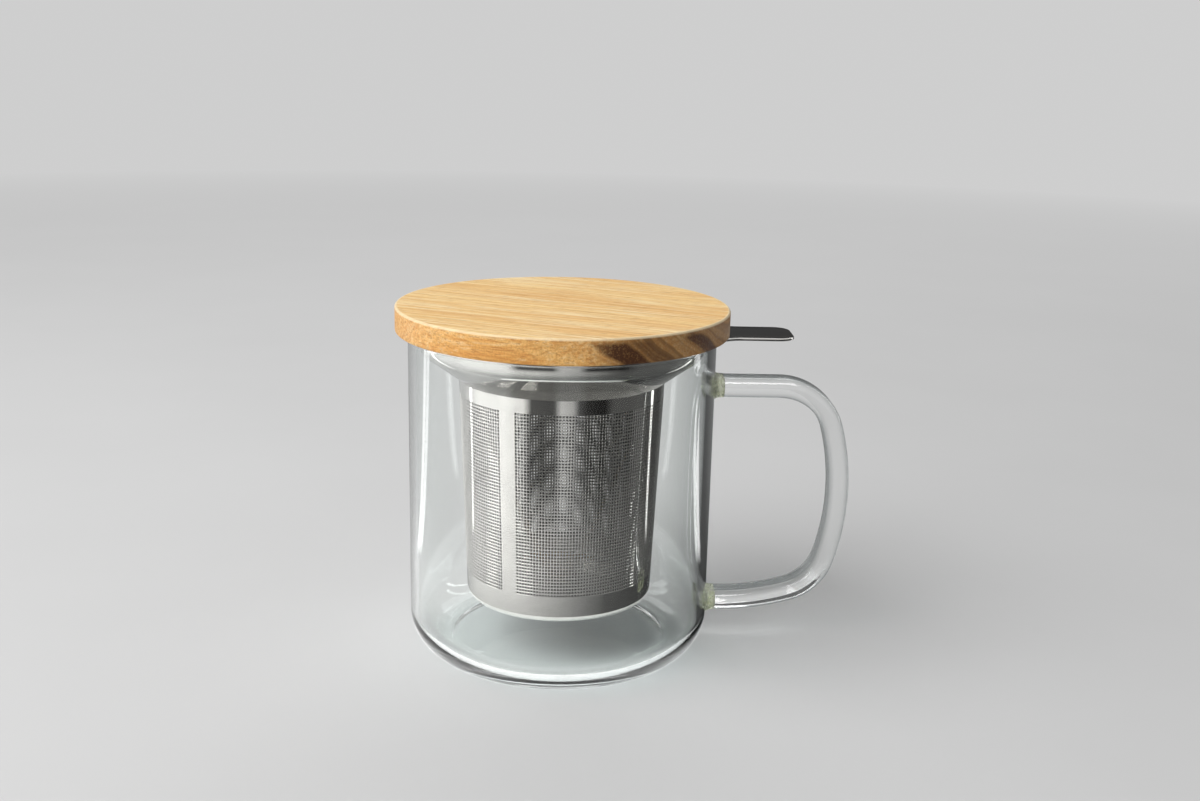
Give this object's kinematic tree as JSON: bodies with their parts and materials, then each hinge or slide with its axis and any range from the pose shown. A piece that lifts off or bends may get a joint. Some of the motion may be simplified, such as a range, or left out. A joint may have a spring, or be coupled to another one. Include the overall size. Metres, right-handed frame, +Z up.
{
  "type": "tea mug",
  "caption": "Straight glass tea mug with a glass bar handle, a lift-out steel strainer on a flanged funnel with a lift tab, and a loose turned wooden lid",
  "frame": {"origin": "centre of the mug's flat underside, on the mug's axis", "axes": "+Z up along the mug's axis, +X toward the handle and the lift tab, +Y completes the right-handed frame"},
  "size_m": [0.1293, 0.093, 0.1003],
  "materials": {
    "clear_glass": "clear blown borosilicate glass",
    "handle_glass": "clear solid glass bar",
    "weld_glass": "frosted, faintly green fused glass",
    "polished_steel": "polished stainless steel",
    "strainer_steel": "etched stainless sheet",
    "base_steel": "pressed stainless sheet",
    "lid_wood": "oiled solid wood",
    "seal_silicone": "translucent white silicone"
  },
  "bodies": {
    "mug": {"mug_body": "clear_glass", "mug_handle": "handle_glass", "handle_weld_upper": "weld_glass", "handle_weld_lower": "weld_glass"},
    "infuser": {"infuser_rim": "polished_steel", "infuser_wall": "strainer_steel", "infuser_base": "base_steel"},
    "lid": {"lid_board": "lid_wood", "lid_seal": "seal_silicone"}
  },
  "joints": [
    {"name": "infuser_lift", "type": "slide", "parent": "mug", "child": "infuser", "axis": [0, 0, 1], "range_m": [0, 0.085]},
    {"name": "lid_lift", "type": "slide", "parent": "infuser", "child": "lid", "axis": [0, 0, 1], "range_m": [0, 0.045]}
  ]
}
